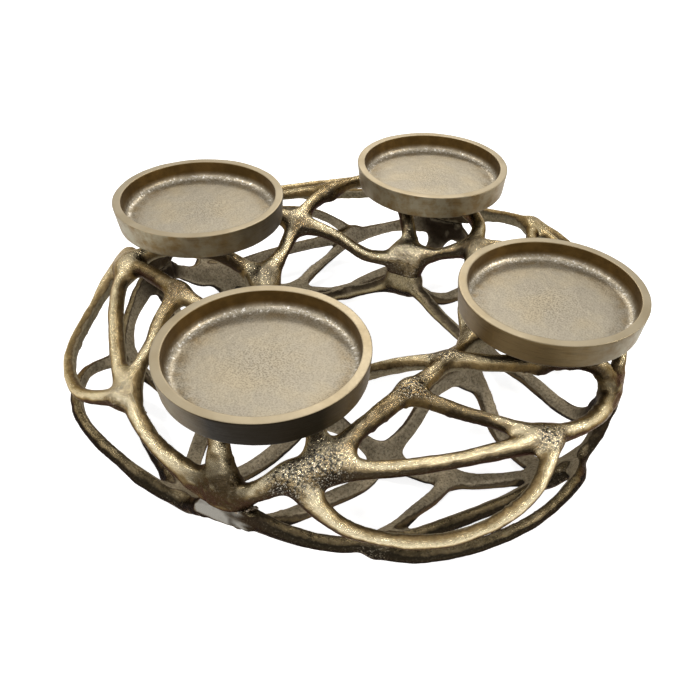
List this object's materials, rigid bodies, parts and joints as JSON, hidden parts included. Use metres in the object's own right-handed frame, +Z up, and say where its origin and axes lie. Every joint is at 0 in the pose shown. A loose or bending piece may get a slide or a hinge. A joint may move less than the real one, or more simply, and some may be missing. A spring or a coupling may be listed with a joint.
{
  "type": "wreath candle holder",
  "caption": "Ring-shaped table candle holder: an open cast lattice of branching bars that carries round dishes for pillar candles.",
  "frame": {"origin": "middle of the ring, in the plane of the ground flats that it stands on", "axes": "+Z up, the front dish on -Y, the right dish on +X"},
  "size_m": [0.318, 0.318, 0.1031],
  "materials": {
    "upper_casting": "cast, burnished antique brass coating",
    "lower_casting": "cast, dull antique brass coating",
    "dish_casting": "sand-cast floor with a turned rim, antique brass coating",
    "fixing_steel": "zinc plated"
  },
  "bodies": {
    "root": {"upper_lattice_front": "upper_casting", "lower_lattice_front": "lower_casting", "dish_front": "dish_casting", "dish_washer_front": "fixing_steel", "dish_screw_front": "fixing_steel", "upper_lattice_right": "upper_casting", "lower_lattice_right": "lower_casting", "dish_right": "dish_casting", "dish_washer_right": "fixing_steel", "dish_screw_right": "fixing_steel", "upper_lattice_back": "upper_casting", "lower_lattice_back": "lower_casting", "dish_back": "dish_casting", "dish_washer_back": "fixing_steel", "dish_screw_back": "fixing_steel", "upper_lattice_left": "upper_casting", "lower_lattice_left": "lower_casting", "dish_left": "dish_casting", "dish_washer_left": "fixing_steel", "dish_screw_left": "fixing_steel"}
  },
  "joints": []
}
